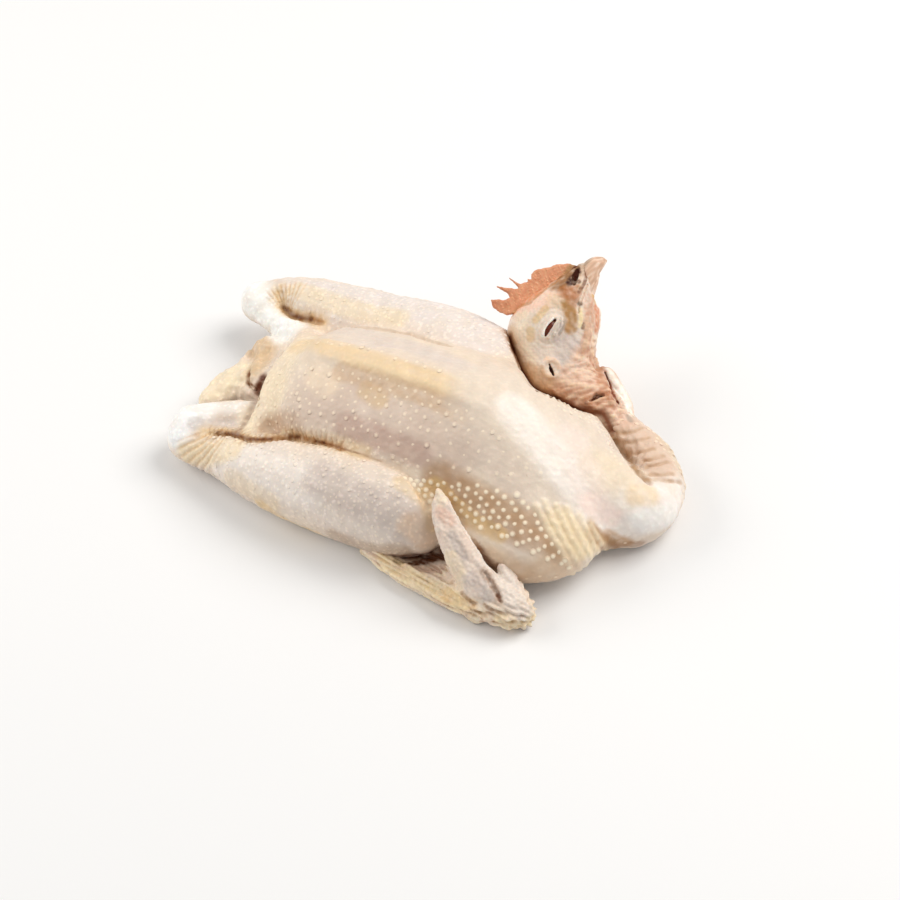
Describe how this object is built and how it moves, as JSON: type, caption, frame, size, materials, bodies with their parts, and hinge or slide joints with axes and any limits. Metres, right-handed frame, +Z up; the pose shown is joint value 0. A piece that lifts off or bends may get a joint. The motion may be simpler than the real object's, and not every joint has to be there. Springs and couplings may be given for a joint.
{
  "type": "whole raw cockerel",
  "caption": "Whole raw cockerel, plucked and dressed with its head on, lying on its back with legs folded back, a wing at its side and the neck curled along its flank",
  "frame": {"origin": "middle of the bottom of the bird's box, on the surface it lies on", "axes": "+X from the tail to the crop, along the breastbone; +Y to the side where the head lies; +Z up"},
  "size_m": [0.2744, 0.193, 0.0756],
  "materials": {
    "skin": "moist, slightly glossy raw poultry skin"
  },
  "bodies": {
    "root": {"cockerel": "skin"}
  },
  "joints": []
}
